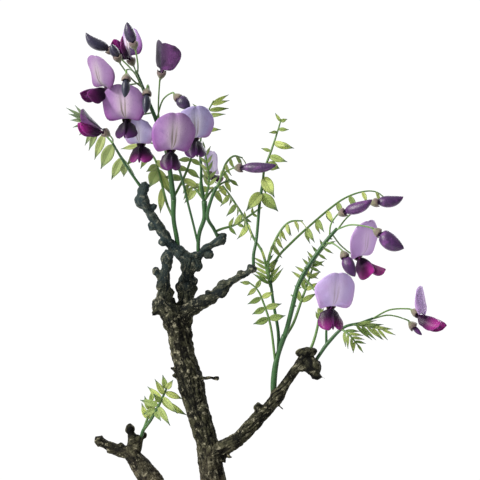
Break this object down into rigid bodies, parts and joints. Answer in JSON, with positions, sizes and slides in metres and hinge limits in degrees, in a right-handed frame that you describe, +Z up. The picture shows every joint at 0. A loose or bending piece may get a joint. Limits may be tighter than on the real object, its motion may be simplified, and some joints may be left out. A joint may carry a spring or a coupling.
{
  "type": "wisteria bonsai",
  "caption": "Wisteria bonsai in a plain clay pot: gnarled dark trunk, open crown of green leafy shoots, lavender flowers and dark buds.",
  "frame": {"origin": "on the ground under the middle of the pot", "axes": "+Z up, -Y towards the viewer of the tree's front, +X to that viewer's right"},
  "size_m": [0.2467, 0.17, 0.432],
  "materials": {
    "clay": "matte",
    "soil": "granular",
    "mesh_plastic": "matte",
    "bark": "rough",
    "green": "matte",
    "lavender": "matte",
    "aubergine": "satin"
  },
  "bodies": {
    "root": {"bud_far_right": "aubergine", "bud_left_front": "aubergine", "bud_left_long": "aubergine", "bud_left_small": "aubergine", "bud_middle_long": "aubergine", "bud_rib_front": "aubergine", "bud_right_inner": "aubergine", "bud_right_low": "aubergine", "bud_right_outer": "aubergine", "bud_right_plump": "aubergine", "bud_round": "aubergine", "bud_top": "aubergine", "drain_screen_left": "mesh_plastic", "drain_screen_right": "mesh_plastic", "flower_back_banner": "lavender", "flower_back_wings_keel": "aubergine", "flower_centre_banner": "lavender", "flower_centre_wings_keel": "aubergine", "flower_far_right_banner": "lavender", "flower_far_right_wings_keel": "aubergine", "flower_front_banner": "lavender", "flower_front_wings_keel": "aubergine", "flower_left_banner": "lavender", "flower_left_front_banner": "lavender", "flower_left_front_wings_keel": "aubergine", "flower_left_shut_banner": "lavender", "flower_left_shut_wings_keel": "aubergine", "flower_left_wings_keel": "aubergine", "flower_low_front_banner": "lavender", "flower_low_front_wings_keel": "aubergine", "flower_opening_banner": "lavender", "flower_opening_wings_keel": "aubergine", "flower_right_high_banner": "lavender", "flower_right_high_wings_keel": "aubergine", "flower_small_banner": "lavender", "flower_small_wings_keel": "aubergine", "flower_top_banner": "lavender", "flower_top_wings_keel": "aubergine", "pot": "clay", "shoot_left": "green", "shoot_left_knob": "green", "shoot_middle": "green", "shoot_right": "green", "shoot_right_tip": "green", "shoot_right_tip_stem": "green", "shoot_small_branch": "green", "shoot_stub": "green", "shoot_young_low": "green", "soil": "soil", "wood": "bark"}
  },
  "joints": []
}
